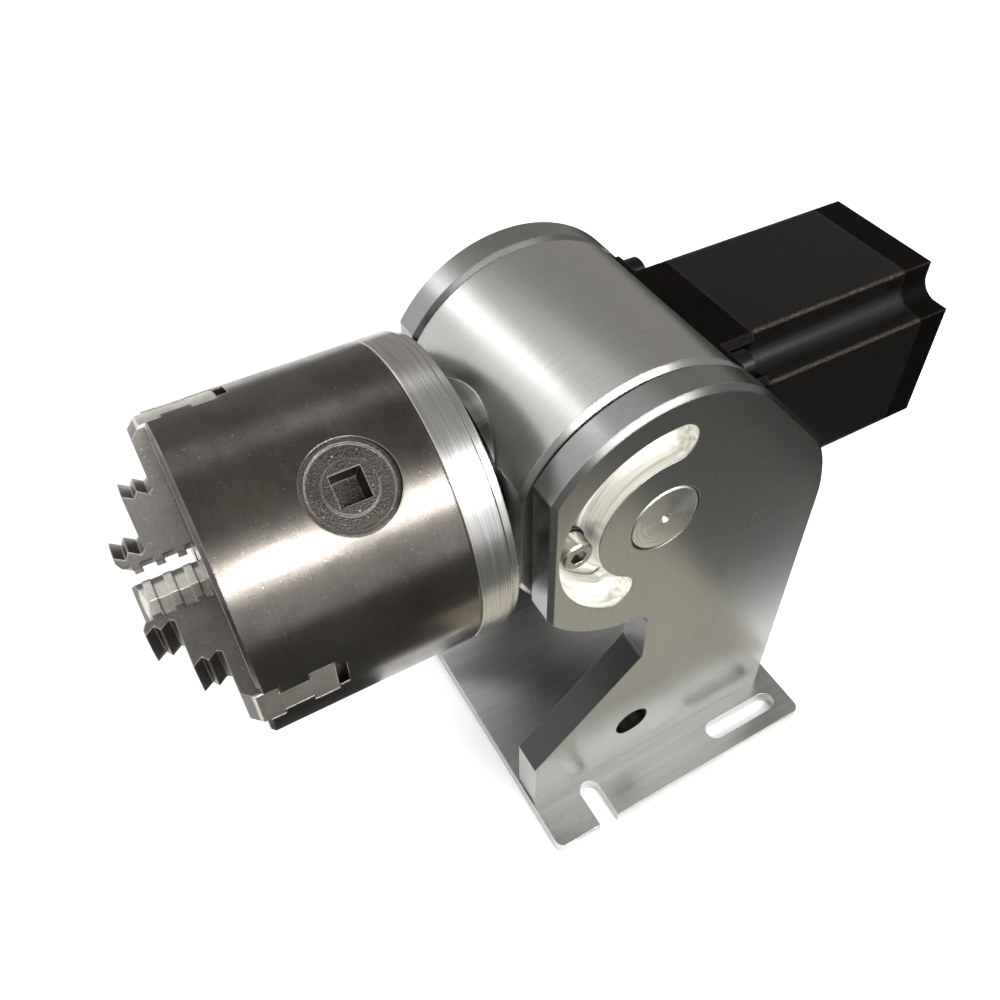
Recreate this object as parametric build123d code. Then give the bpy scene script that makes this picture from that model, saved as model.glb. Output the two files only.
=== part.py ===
"""Tilting rotary axis with a three-jaw scroll chuck, driven by a square stepper motor.

All sizes are in millimetres.  The row frame has its origin on the underside of the base,
straight below the tilt axis.  +X runs along the spindle towards the motor, the chuck points
to -X, the front side plate is at -Y, and +Z is up.  Most pieces are drawn in the head frame,
whose origin is where the tilt axis crosses the spindle axis, and are lifted into place.
"""

from build123d import *
import os
from math import acos, cos, degrees, pi, radians, sin, sqrt, tan

# Fits and running gaps
slip = 0.03              # between pieces that are seated in each other
running = 0.05           # radial, between a shaft and its bore
slide_gap = 0.1          # each side of a jaw in its guide
swing_gap = 0.3          # between parts that sweep past each other

# Base plate
base_length = 100.0
base_width = 114.0
base_thickness = 5.0
base_front_reach = 37.0  # from the tilt axis to the base's chuck-side edge
base_corner_radius = 3.0
axis_above_base = 121.2  # tilt axis above the base's top face
notch_width = 7.0
notch_depth = 15.0
notch_x = -18.0
slot_width = 6.6
slot_length = 28.7
slot_x = 42.9
slot_edge_distance = 8.6
plate_screw_rows = (-27.0, 10.0, 47.0)

# Side plates
plate_thickness = 10.0
plate_spacing = 60.0     # between the two inner faces
disc_radius = 39.5       # round head of each plate and of the tilting housing
plate_flat_x = -33.2
foot_left = -36.5
foot_right = 57.5
shoulder_radius = 45.0
shoulder_angle = 42.0
relief_edge_x = 0.0      # upright edge of the relief that clears the chuck
relief_fillet = 6.0
relief_drop = 16.5       # length of that upright edge
relief_angle = 45.0
relief_corner = 2.0
plate_chamfer = 1.3
cross_hole_diameter = 12.0
cross_hole_height = 21.5  # above the base's top face

# Tilt pivot and its clamp
pivot_diameter = 21.0
pivot_engagement = 7.5
pivot_centre_mark = 3.0
clamp_radius = 25.3      # clamp screws' distance from the tilt axis
clamp_angle = 180.0
arc_start = 89.0
arc_end = 238.0
arc_head_width = 11.3
arc_shank_width = 5.6
arc_ledge_depth = 6.5
washer_diameter = 9.6
washer_thickness = 1.0
clamp_thread_depth = 6.0

# Tilting housing
housing_flat_x = -35.4
housing_boss_radius = 24.5
housing_chamfer = 1.3
motor_pocket_wall = 1.3
motor_seat_x = 23.7
motor_face_x = 28.7      # where the motor's body starts, past its flange

# Spindle and its bearings
bearing_outer_diameter = 42.0
bearing_bore = 20.0
bearing_width = 12.0
bearing_ring_wall = 3.4
bearing_ball_radius = 3.1
bearing_ball_count = 9
bearing_spacing = 2.0
bearing_start_x = -32.7
snap_ring_width = 1.2
snap_ring_depth = 1.2    # how far the ring sits in the housing's groove
snap_ring_reach = 2.4    # how far it stands into the bore
snap_ring_opening = 14.0
spindle_neck_diameter = 28.0
spindle_collar_diameter = 48.0
spindle_collar_thickness = 3.8
spindle_nose_diameter = 30.0
spindle_tail_diameter = 10.0

# Shaft coupling
coupling_diameter = 25.0
coupling_bore_gap = 1.5
coupling_hub_length = 9.5
coupling_claw_length = 5.0
coupling_claw_angle = 32.0
coupling_lobe_angle = 25.0
coupling_core_radius = 6.0
coupling_start_x = -6.5
coupling_end_gap = 0.2

# Motor
motor_width = 56.4
motor_flange_thickness = 5.0
motor_front_cap_length = 10.0
motor_stator_length = 53.8
motor_rear_cap_length = 10.2
motor_land = 37.0        # flat width of each side between the corner grooves
motor_groove_radius = 5.5
motor_bolt_spacing = 47.14
motor_pilot_diameter = 38.1
motor_pilot_height = 1.6
motor_shaft_diameter = 8.0
motor_shaft_reach = 14.5
rotor_diameter = 26.4
rotor_gap = 0.4
motor_bearing_diameter = 22.0
motor_bearing_width = 7.0
connector_width = 16.0
connector_length = 6.5
connector_depth = 5.0
connector_lip = 1.0

# Adapter flange between spindle and chuck
flange_diameter = 80.0
flange_thickness = 8.8
flange_step_diameter = 77.6
flange_step_length = 2.0
flange_edge_chamfer = 0.5
register_diameter = 55.0
register_depth = 3.5
chuck_bolt_radius = 33.0
chuck_bolt_depth = 10.0
nose_screw_radius = 20.0
nose_screw_count = 4

# Chuck body
chuck_diameter = 80.0
chuck_length = 52.0
chuck_face_x = -104.0
chuck_bore = 16.0
rim_chamfer = 1.0
cavity_diameter = 53.6
cavity_start = 16.8      # depths are counted from the chuck's front face
hub_boss_diameter = 26.0
rear_cover_thickness = 4.2
rear_cover_screw_radius = 10.5
first_pinion_angle = 123.3  # from +Y towards +Z, about the chuck axis

# Scroll
scroll_pitch = 5.0
scroll_ridge_width = 2.2
scroll_ridge_height = 2.3
scroll_disc_thickness = 5.6
scroll_hub_diameter = 40.0
scroll_phase = 1.2       # radius of the groove centre line at the angle of zero
crown_teeth = 42
pinion_teeth = 10
crown_reference_radius = 24.0
crown_face_width = 4.8

# Jaws
jaw_half_width = 5.5
jaw_neck_half_width = 3.5
jaw_guide_depth = 4.0
jaw_neck_depth = 11.0
jaw_base_depth = 16.6
jaw_tooth_depth = 19.0
jaw_tooth_thickness = 2.0
jaw_tooth_half_width = 3.8
jaw_tip_radius = 6.3     # gripping edge from the chuck axis, as the photo shows it
jaw_first_step = 14.8
jaw_second_step = 26.7
jaw_outer_end = 39.8
jaw_foot_bevel = 2.4
jaw_tip_height = 16.2
jaw_step_height = 9.6
jaw_foot_height = 3.2
jaw_tip_chamfer = 1.6
jaw_notch_depth = 1.4
jaw_notch_drop = 2.3
jaw_crest_drop = 3.3
jaw_land_relief = 1.2
jaw_land_width = 2.0
jaw_land_heights = (2.6, 7.5, 12.5)

# Pinions
pinion_depth = 32.6      # pinion axis behind the chuck's front face
pinion_head_diameter = 21.4
pinion_face_radius = 38.4
pinion_collar_diameter = 12.4
pinion_ring_width = 1.2
pinion_ring_relief = 0.5
pinion_square = 7.2
pinion_square_depth = 9.0
pinion_groove_depth = 1.4
pinion_groove_width = 4.6
pinion_groove_radius = 34.5
pinion_pin_diameter = 4.0

# Cap screws: shank diameter, head diameter, head height, socket across flats
m3 = (3.0, 5.5, 3.0, 2.5)
m4 = (4.0, 7.0, 4.0, 3.0)
m5 = (5.0, 8.5, 5.0, 4.0)
m6 = (6.0, 10.0, 6.0, 5.0)

# Places that follow from the sizes above
axis_height = base_thickness + axis_above_base
plate_inner = plate_spacing / 2
plate_outer = plate_inner + plate_thickness
housing_end = plate_inner - swing_gap
base_top = -axis_above_base
flange_front_x = chuck_face_x + chuck_length
flange_rear_x = flange_front_x + flange_thickness
step_rear_x = flange_rear_x + flange_step_length
bearing_2_x = bearing_start_x + bearing_width + bearing_spacing
bearing_end_x = bearing_2_x + bearing_width
register_radius = register_diameter / 2
cavity_radius = cavity_diameter / 2
cover_seat = chuck_length - register_depth - rear_cover_thickness
ridge_base = jaw_tooth_depth + swing_gap
ridge_top = ridge_base - scroll_ridge_height
disc_rear = ridge_base + scroll_disc_thickness
stator_x = motor_face_x + motor_front_cap_length
rear_cap_x = stator_x + motor_stator_length
motor_end_x = rear_cap_x + motor_rear_cap_length
gear_ratio = crown_teeth / pinion_teeth
jaw_angles = [first_pinion_angle - 60 + 120 * i for i in range(3)]
pinion_angles = [first_pinion_angle + 120 * i for i in range(3)]

lift = Pos(0, 0, axis_height)


def block(x0, x1, y0, y1, z0, z1):
    """A box between two opposite corners."""
    centre = Pos((x0 + x1) / 2, (y0 + y1) / 2, (z0 + z1) / 2)
    return centre * Box(abs(x1 - x0), abs(y1 - y0), abs(z1 - z0))


def rod_x(radius, x0, x1, y=0.0, z=0.0):
    """A cylinder along X."""
    return Pos((x0 + x1) / 2, y, z) * Rot(0, 90, 0) * Cylinder(radius, abs(x1 - x0))


def rod_y(radius, y0, y1, x=0.0, z=0.0):
    """A cylinder along Y."""
    return Pos(x, (y0 + y1) / 2, z) * Rot(90, 0, 0) * Cylinder(radius, abs(y1 - y0))


def rod_z(radius, z0, z1, x=0.0, y=0.0):
    """A cylinder along Z."""
    return Pos(x, y, (z0 + z1) / 2) * Cylinder(radius, abs(z1 - z0))


def turned(points, axis=Axis.X):
    """A solid of revolution about the X axis from (x, radius) points."""
    outline = make_face(Polyline([(x, r, 0) for x, r in points], close=True))
    return revolve(outline, axis)


def ring_x(outer, inner, x0, x1):
    """A washer-shaped ring about the X axis."""
    return turned([(x0, inner), (x1, inner), (x1, outer), (x0, outer)])


def about_x(angle, shape):
    """Turn a shape about the spindle axis, from +Y towards +Z."""
    return Rot(angle, 0, 0) * shape


def hexagon_socket(across_flats, depth):
    """A hexagonal socket that opens at the origin and goes down."""
    corner_radius = across_flats / 2 / cos(pi / 6)
    return extrude(RegularPolygon(corner_radius, 6), -depth)


def cap_screw(size, shank_length):
    """A socket-head cap screw along Z: head above the origin, shank below."""
    shank, head, height, socket = size
    edge = 0.1 * height
    body = Pos(0, 0, height / 2) * Cylinder(head / 2, height)
    body = chamfer(body.edges().sort_by(Axis.Z)[-1], edge)
    body -= Pos(0, 0, height) * hexagon_socket(socket, 0.6 * height)
    return body + Pos(0, 0, -shank_length / 2) * Cylinder(shank / 2, shank_length)


def countersunk_screw(size, length):
    """A countersunk screw along Z with its flat top at the origin, shank below."""
    shank, head, height, socket = size
    cone_height = (head - shank) / 2
    body = Pos(0, 0, -cone_height / 2) * Cone(shank / 2, head / 2, cone_height)
    body += Pos(0, 0, -(length + cone_height) / 2) * Cylinder(shank / 2, length - cone_height)
    return body - hexagon_socket(0.8 * socket, 0.8 * cone_height)


def group(shapes):
    """Separate solids kept in one node."""
    return Compound(children=[s for shape in shapes for s in shape.solids()])


# Fixed frame

def plate_screw_places():
    """Places of the screws that hold the side plates on the base."""
    middle = plate_inner + plate_thickness / 2
    return [(x, side * middle) for side in (-1, 1) for x in plate_screw_rows]


def base_plate():
    """Flat base with an open notch and a long slot along each side."""
    left = -base_front_reach
    half = base_width / 2
    plate = block(left, left + base_length, -half, half, 0, base_thickness)
    plate = fillet(plate.edges().filter_by(Axis.Z), base_corner_radius)
    for side in (-1, 1):
        end_y = side * (half - notch_depth + notch_width / 2)
        plate -= rod_z(notch_width / 2, -1, base_thickness + 1, notch_x, end_y)
        plate -= block(notch_x - notch_width / 2, notch_x + notch_width / 2,
                       end_y, side * (half + 1), -1, base_thickness + 1)
        slot = extrude(SlotOverall(slot_length, slot_width), base_thickness + 2)
        plate -= Pos(slot_x, side * (half - slot_edge_distance), -1) * slot
    cone = (m5[1] - m5[0]) / 2 + slip
    for x, y in plate_screw_places():
        plate -= rod_z(m5[0] / 2 + slip, -1, base_thickness + 1, x, y)
        plate -= Pos(x, y, cone / 2) * Cone(m5[1] / 2 + slip, m5[0] / 2 + slip, cone)
    return plate


def plate_screws():
    """Countersunk screws driven up through the base into the side plates."""
    length = base_thickness + plate_thickness
    upright = Rot(180, 0, 0) * countersunk_screw(m5, length)
    return group([Pos(x, y, 0) * upright for x, y in plate_screw_places()])


def plate_outline():
    """Side profile: round head, chuck-side relief, broad foot."""
    flat_z = sqrt(disc_radius ** 2 - plate_flat_x ** 2)
    relief_x = relief_edge_x - relief_fillet
    relief_z = -sqrt(disc_radius ** 2 - relief_x ** 2)
    relief_low = relief_z - relief_fillet - relief_drop
    ramp_z = relief_low - (relief_edge_x - foot_left) * tan(radians(relief_angle))
    nx, nz = cos(radians(shoulder_angle)), sin(radians(shoulder_angle))
    shoulder_x = foot_right - shoulder_radius
    shoulder_z = (disc_radius - shoulder_radius - shoulder_x * nx) / nz
    half_turn = radians(shoulder_angle / 2)
    turn_x = relief_edge_x - relief_fillet * (1 - cos(pi / 4))
    turn_z = relief_z - relief_fillet * (1 - sin(pi / 4))
    low_angle = radians(233)
    edges = [
        Line((foot_left, base_top), (foot_left, ramp_z)),
        Line((foot_left, ramp_z), (relief_edge_x, relief_low)),
        Line((relief_edge_x, relief_low), (relief_edge_x, relief_z - relief_fillet)),
        ThreePointArc((relief_edge_x, relief_z - relief_fillet), (turn_x, turn_z),
                      (relief_x, relief_z)),
        ThreePointArc((relief_x, relief_z),
                      (disc_radius * cos(low_angle), disc_radius * sin(low_angle)),
                      (plate_flat_x, -flat_z)),
        Line((plate_flat_x, -flat_z), (plate_flat_x, flat_z)),
        ThreePointArc((plate_flat_x, flat_z), (0, disc_radius),
                      (disc_radius * nx, disc_radius * nz)),
        Line((disc_radius * nx, disc_radius * nz),
             (shoulder_x + shoulder_radius * nx, shoulder_z + shoulder_radius * nz)),
        ThreePointArc((shoulder_x + shoulder_radius * nx, shoulder_z + shoulder_radius * nz),
                      (shoulder_x + shoulder_radius * cos(half_turn),
                       shoulder_z + shoulder_radius * sin(half_turn)),
                      (foot_right, shoulder_z)),
        Line((foot_right, shoulder_z), (foot_right, base_top)),
        Line((foot_right, base_top), (foot_left, base_top)),
    ]
    return make_face(edges)


def arc_slot(width, depth_from, depth_to):
    """Clamp slot about the tilt axis, cut between two depths in the front plate."""
    path = CenterArc((0, 0), clamp_radius, arc_start, arc_end - arc_start)
    sketch = Plane.XZ * SlotArc(path, width)
    return extrude(Pos(0, -depth_from, 0) * sketch, depth_to - depth_from)


def is_head_edge(edge, level):
    """True for the outline edges of the plate's round head at one Y level."""
    centre = edge.center()
    on_level = abs(centre.Y - level) < 0.01
    if edge.geom_type == GeomType.CIRCLE:
        upper = centre.Z > -disc_radius / 2
        return on_level and upper and edge.radius > disc_radius - 0.01
    tangent_middle = centre.Z > 0 and centre.X > 0
    on_flat = abs(centre.X - plate_flat_x) < 0.01 and abs(centre.Z) < 1
    return on_level and (tangent_middle or on_flat)


def front_side_plate():
    """Upright plate at -Y, with pivot bore, stepped arc slot and cross hole."""
    plate = extrude(Pos(0, -plate_inner, 0) * (Plane.XZ * plate_outline()), plate_thickness)
    corner = [e for e in plate.edges().filter_by(Axis.Y)
              if abs(e.center().X - relief_edge_x) < 0.01 and e.center().Z < -disc_radius - relief_drop]
    plate = fillet(corner, relief_corner)
    outer = [e for e in plate.edges() if is_head_edge(e, -plate_outer)]
    plate = chamfer(outer, plate_chamfer)
    inner = [e for e in plate.edges() if is_head_edge(e, -plate_inner)]
    plate = chamfer(inner, plate_chamfer)
    plate -= rod_y(pivot_diameter / 2 + running, -plate_outer - 1, -plate_inner + 1)
    plate -= arc_slot(arc_shank_width, plate_inner - 1, plate_outer)
    plate -= arc_slot(arc_head_width, plate_outer - arc_ledge_depth, plate_outer + 1)
    plate -= rod_y(cross_hole_diameter / 2, -plate_outer - 1, -plate_inner + 1,
                   0, base_top + cross_hole_height)
    for x in plate_screw_rows:
        plate -= rod_z(m5[0] / 2 + slip, base_top - 1, base_top + plate_thickness + 1,
                       x, -plate_inner - plate_thickness / 2)
    return plate


# Tilting head

def housing():
    """Short drum across the plates, bored through for the spindle and the motor."""
    drum = rod_y(disc_radius, -housing_end, housing_end)
    drum = chamfer(drum.edges().filter_by(GeomType.CIRCLE), housing_chamfer)
    drum &= block(housing_flat_x, motor_face_x, -housing_end, housing_end,
                  -disc_radius, disc_radius)
    drum += rod_x(housing_boss_radius, housing_flat_x, 0)
    bearing_seat = bearing_outer_diameter / 2 + slip
    drum -= rod_x(bearing_seat, housing_flat_x - 1, bearing_end_x)
    drum -= rod_x(bearing_seat + snap_ring_depth, bearing_start_x - snap_ring_width - slip,
                  bearing_start_x)
    drum -= rod_x(coupling_diameter / 2 + coupling_bore_gap, bearing_end_x - 1, motor_seat_x)
    drum -= rod_x(motor_pilot_diameter / 2 + slip, motor_seat_x - motor_pilot_height, motor_seat_x + 1)
    pocket = housing_end - motor_pocket_wall
    drum -= block(motor_seat_x, motor_face_x + 1, -pocket, pocket, -disc_radius, disc_radius)
    for side in (-1, 1):
        drum -= rod_y(pivot_diameter / 2 + slip, side * (housing_end + 1),
                      side * (plate_inner - pivot_engagement))
        x, z = clamp_place()
        drum -= rod_y(m5[0] / 2 + slip, side * (housing_end + 1),
                      side * (housing_end - clamp_thread_depth - 1), x, z)
    half = motor_bolt_spacing / 2
    for y in (-half, half):
        for z in (-half, half):
            drum -= rod_x(m5[0] / 2 + slip, motor_seat_x - 11, motor_seat_x + 1, y, z)
    return drum


def clamp_place():
    """X and Z of the clamp screws with the head level."""
    a = radians(clamp_angle)
    return clamp_radius * cos(a), clamp_radius * sin(a)


def front_pivot_pin():
    """Stub pin that the head turns on, with a turned end and a centre mark."""
    pin = rod_y(pivot_diameter / 2, -plate_outer, -plate_inner + pivot_engagement)
    end = [e for e in pin.edges().filter_by(GeomType.CIRCLE) if e.center().Y < -plate_inner]
    pin = chamfer(end, 0.8)
    mark = pivot_centre_mark / 2
    cone = Pos(0, -plate_outer + mark / 2, 0) * Rot(90, 0, 0) * Cone(0.01, mark, mark)
    return pin - cone


def front_clamp_washer():
    """Washer under the clamp screw's head, on the slot's ledge."""
    x, z = clamp_place()
    seat = -(plate_outer - arc_ledge_depth) - slide_gap
    washer = rod_y(washer_diameter / 2, seat - washer_thickness, seat, x, z)
    return washer - rod_y(m5[0] / 2 + 2 * running, seat - washer_thickness - 1, seat + 1, x, z)


def front_clamp_screw():
    """Cap screw through the arc slot into the housing's end face."""
    x, z = clamp_place()
    under_head = plate_outer - arc_ledge_depth + slide_gap + washer_thickness + slide_gap
    shank = under_head - housing_end + clamp_thread_depth
    return Pos(x, -under_head, z) * Rot(90, 0, 0) * cap_screw(m5, shank)


def bearing_ring(outer, inner, x0):
    """One ball-bearing ring with its ball groove."""
    ring = ring_x(outer, inner, x0, x0 + bearing_width)
    centre = x0 + bearing_width / 2
    groove = make_face(Pos(centre, ball_pitch_radius(), 0) * Circle(bearing_ball_radius + slide_gap))
    return ring - revolve(groove, Axis.X)


def ball_pitch_radius():
    """Radius of the circle that the bearing's balls run on."""
    return (bearing_outer_diameter + bearing_bore) / 4


def bearing_outer_ring(x0):
    """Outer ring, seated in the housing."""
    outer = bearing_outer_diameter / 2
    return bearing_ring(outer, outer - bearing_ring_wall, x0)


def bearing_inner_ring(x0):
    """Inner ring, seated on the spindle."""
    inner = bearing_bore / 2
    return bearing_ring(inner + bearing_ring_wall, inner, x0)


def bearing_balls(x0):
    """Balls between the two rings."""
    ball = Pos(x0 + bearing_width / 2, ball_pitch_radius(), 0) * Sphere(bearing_ball_radius)
    step = 360 / bearing_ball_count
    return group([about_x(step * i, ball) for i in range(bearing_ball_count)])


def outer_spacer():
    """Ring that keeps the two outer rings apart."""
    outer = bearing_outer_diameter / 2
    return ring_x(outer, outer - bearing_ring_wall, bearing_start_x + bearing_width, bearing_2_x)


def bearing_snap_ring():
    """Open spring ring that keeps the bearings in the housing."""
    outer = bearing_outer_diameter / 2
    return sector_x(outer + snap_ring_depth, outer - snap_ring_reach,
                    bearing_start_x - snap_ring_width, bearing_start_x - slip,
                    90, 360 - snap_ring_opening)


# Motor

def motor_profile():
    """Square section with a rounded groove at each corner."""
    half = motor_width / 2
    land = motor_land / 2
    depth = half - land
    section = Rectangle(motor_width, motor_width)
    for sy in (-1, 1):
        for sz in (-1, 1):
            corner = Pos(sy * half, sz * half) * Rectangle(2 * depth - 0.01, 2 * depth - 0.01)
            inner = corner.vertices().sort_by(lambda v: v.X * sy + v.Y * sz)[0]
            section -= fillet(inner, motor_groove_radius)
    return section


def motor_section(x0, x1):
    """Length of motor body with the grooved section."""
    body = extrude(Plane.YZ * motor_profile(), x1 - x0)
    return Pos(x0, 0, 0) * body


def motor_front_cap():
    """Motor flange with pilot, and the bevelled cap behind it with room for the screws."""
    half = motor_width / 2
    cap = block(motor_face_x, stator_x, -half, half, -half, half)
    cap = chamfer(cap.edges().filter_by(Axis.X), (motor_width - motor_land) / 2)
    flange = block(motor_seat_x, motor_face_x, -half, half, -half, half)
    cap += fillet(flange.edges().filter_by(Axis.X), 2.0)
    cap += rod_x(motor_pilot_diameter / 2, motor_seat_x - motor_pilot_height, motor_seat_x)
    cap -= rod_x(motor_bearing_diameter / 2 + slip, stator_x - motor_bearing_width, stator_x + 1)
    cap -= rod_x(motor_shaft_diameter / 2 + 1, motor_seat_x - motor_pilot_height - 1, stator_x)
    spacing = motor_bolt_spacing / 2
    for y in (-spacing, spacing):
        for z in (-spacing, spacing):
            cap -= rod_x(m5[0] / 2 + slip, motor_seat_x - 1, motor_face_x + 0.5, y, z)
            cap -= rod_x(m5[1] / 2 + swing_gap, motor_face_x, stator_x + 1, y, z)
    return cap


def motor_stator():
    """Stator stack, bored for the rotor."""
    body = motor_section(stator_x, rear_cap_x)
    return body - rod_x(rotor_diameter / 2 + rotor_gap, stator_x - 1, rear_cap_x + 1)


def motor_rear_cap():
    """Closed end cap with the rear bearing's seat and the connector's recess."""
    cap = motor_section(rear_cap_x, motor_end_x)
    end = [e for e in cap.edges() if abs(e.center().X - motor_end_x) < 0.01]
    cap = chamfer(end, 0.5)
    cap -= rod_x(motor_bearing_diameter / 2 + slip, rear_cap_x - 1, rear_cap_x + motor_bearing_width)
    bottom = -motor_width / 2
    x, half = connector_place()
    return cap - block(x - connector_length / 2 - slip, x + connector_length / 2 + slip,
                       -half - slip, half + slip, bottom - 1, bottom + connector_depth)


def connector_place():
    """X of the connector's centre, and half its width."""
    return (rear_cap_x + motor_end_x) / 2, connector_width / 2


def motor_connector():
    """Open socket for the motor's plug, on the underside of the rear cap."""
    x, half = connector_place()
    bottom = -motor_width / 2
    wall = 0.8
    shell = block(x - connector_length / 2, x + connector_length / 2, -half, half,
                  bottom - connector_lip, bottom + connector_depth - slip)
    shell -= block(x - connector_length / 2 + wall, x + connector_length / 2 - wall,
                   -half + wall, half - wall, bottom - connector_lip - 1, bottom + connector_depth - 1.5)
    pins = [block(x - 0.3, x + 0.3, y - 0.3, y + 0.3, bottom, bottom + connector_depth - 1.4)
            for y in (-5, -3, -1, 1, 3, 5)]
    for pin in pins:
        shell += pin
    return shell


def motor_bearing(x0):
    """Small bearing of the motor, drawn as one sealed ring."""
    return ring_x(motor_bearing_diameter / 2, motor_shaft_diameter / 2 + running,
                  x0, x0 + motor_bearing_width - slip)


def motor_screws():
    """Four cap screws through the motor's flange, in the corner grooves."""
    spacing = motor_bolt_spacing / 2
    screw = Rot(0, 90, 0) * cap_screw(m5, motor_flange_thickness + 9)
    return group([Pos(motor_face_x, y, z) * screw
                  for y in (-spacing, spacing) for z in (-spacing, spacing)])


def motor_rotor():
    """Rotor stack on the motor shaft."""
    shaft = rod_x(motor_shaft_diameter / 2, motor_seat_x - motor_shaft_reach,
                  rear_cap_x + motor_bearing_width - 0.5)
    return shaft + rod_x(rotor_diameter / 2, stator_x + 1.5, rear_cap_x - 1.5)


# Spindle train

def spindle_shaft():
    """Spindle: nose, collar, neck, bearing seat and coupling tail."""
    nose = spindle_nose_diameter / 2
    collar = spindle_collar_diameter / 2
    neck = spindle_neck_diameter / 2
    seat = bearing_bore / 2 - slip
    tail = spindle_tail_diameter / 2
    return turned([
        (flange_front_x + 0.5, 0), (flange_front_x + 0.5, nose - slip), (step_rear_x, nose - slip),
        (step_rear_x, collar), (step_rear_x + spindle_collar_thickness, collar),
        (step_rear_x + spindle_collar_thickness, neck), (bearing_start_x, neck),
        (bearing_start_x, seat), (bearing_end_x - 0.2, seat), (bearing_end_x - 0.2, tail),
        (coupling_start_x + coupling_hub_length, tail), (coupling_start_x + coupling_hub_length, 0),
    ])


def inner_spacer():
    """Sleeve between the two inner rings."""
    inner = bearing_bore / 2
    return ring_x(inner + bearing_ring_wall, inner, bearing_start_x + bearing_width, bearing_2_x)


def sector_x(outer, inner, x0, x1, angle, width):
    """Part of a ring about the X axis, centred on one angle."""
    outline = make_face(Polyline([(x0, inner, 0), (x1, inner, 0), (x1, outer, 0), (x0, outer, 0)],
                                 close=True))
    return about_x(angle - width / 2, revolve(outline, Axis.X, width))


def coupling_hub(x0, x1, claw_x, bore, turn):
    """Coupling hub with three claws on its inner face."""
    outer = coupling_diameter / 2
    hub = ring_x(outer, bore / 2 + slip, x0, x1)
    for i in range(3):
        near = x1 if claw_x > x1 else x0
        hub += sector_x(outer, coupling_core_radius + 0.2, min(near, claw_x), max(near, claw_x),
                        turn + 120 * i, coupling_claw_angle)
    set_x = (x0 + x1) / 2
    return hub - rod_z(m4[0] / 2 + slip, 0, outer + 1, set_x, 0)


def coupling_mid_x():
    """X where the claws of the two hubs start and end."""
    start = coupling_start_x + coupling_hub_length
    return start, start + coupling_claw_length + coupling_end_gap


def coupling_hub_spindle():
    """Coupling half on the spindle's tail."""
    start, end = coupling_mid_x()
    return coupling_hub(coupling_start_x, start, end - coupling_end_gap, spindle_tail_diameter, 0)


def coupling_hub_motor():
    """Coupling half on the motor shaft."""
    start, end = coupling_mid_x()
    return coupling_hub(end, end + coupling_hub_length, start + coupling_end_gap,
                        motor_shaft_diameter, 60)


def coupling_spider():
    """Six-lobed rubber star between the claws."""
    start, end = coupling_mid_x()
    star = rod_x(coupling_core_radius, start + slip, end - slip)
    for i in range(6):
        star += sector_x(coupling_diameter / 2 - 0.3, 1, start + slip, end - slip,
                         30 + 60 * i, coupling_lobe_angle)
    return star


def coupling_set_screws():
    """Grub screws of the two hubs."""
    start, end = coupling_mid_x()
    outer = coupling_diameter / 2
    screws = []
    for x, shaft in ((coupling_start_x + coupling_hub_length / 2, spindle_tail_diameter),
                     (end + coupling_hub_length / 2, motor_shaft_diameter)):
        grub = rod_z(m4[0] / 2, shaft / 2 + slip, outer - 0.3, x, 0)
        screws.append(grub - Pos(x, 0, outer - 0.3) * hexagon_socket(2, 2))
    return group(screws)


# Adapter flange

def adapter_flange():
    """Bright flange that carries the chuck on the spindle."""
    outer = flange_diameter / 2
    step = flange_step_diameter / 2
    edge = flange_edge_chamfer
    bore = spindle_nose_diameter / 2
    spigot_x = flange_front_x - register_depth + swing_gap
    flange = turned([
        (spigot_x, bore), (spigot_x, register_radius - slip),
        (flange_front_x, register_radius - slip), (flange_front_x, outer - edge),
        (flange_front_x + edge, outer), (flange_rear_x - edge, outer), (flange_rear_x, outer - edge),
        (flange_rear_x, step), (step_rear_x, step), (step_rear_x, bore),
    ])
    head = m6[1] / 2 + swing_gap
    for angle in jaw_angles:
        hole = rod_x(m6[0] / 2 + slip, flange_front_x - 1, step_rear_x + 1, chuck_bolt_radius)
        hole += rod_x(head, step_rear_x - m6[2] - swing_gap, step_rear_x + 1, chuck_bolt_radius)
        flange -= about_x(angle, hole)
    for angle in nose_screw_angles():
        hole = rod_x(m4[0] / 2 + slip, spigot_x - 1, step_rear_x + 1, nose_screw_radius)
        hole += rod_x(m4[1] / 2 + swing_gap, spigot_x - 1, spigot_x + m4[2] + swing_gap,
                      nose_screw_radius)
        flange -= about_x(angle, hole)
    return flange


def nose_screw_angles():
    """Angles of the screws between flange and spindle collar."""
    return [15 + 360 / nose_screw_count * i for i in range(nose_screw_count)]


def nose_screws():
    """Screws that hold the flange on the spindle's collar."""
    spigot_x = flange_front_x - register_depth + swing_gap
    seat = spigot_x + m4[2] + swing_gap
    length = step_rear_x - seat
    screw = Pos(seat, nose_screw_radius, 0) * Rot(0, -90, 0) * cap_screw(m4, length)
    return group([about_x(angle, screw) for angle in nose_screw_angles()])


def chuck_screws():
    """Screws through the flange into the back of the chuck."""
    seat = step_rear_x - m6[2] - swing_gap
    length = seat - flange_front_x + chuck_bolt_depth
    screw = Pos(seat, chuck_bolt_radius, 0) * Rot(0, 90, 0) * cap_screw(m6, length)
    return group([about_x(angle, screw) for angle in jaw_angles])


# Chuck

def deep(h):
    """X at a depth behind the chuck's front face."""
    return chuck_face_x + h


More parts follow.
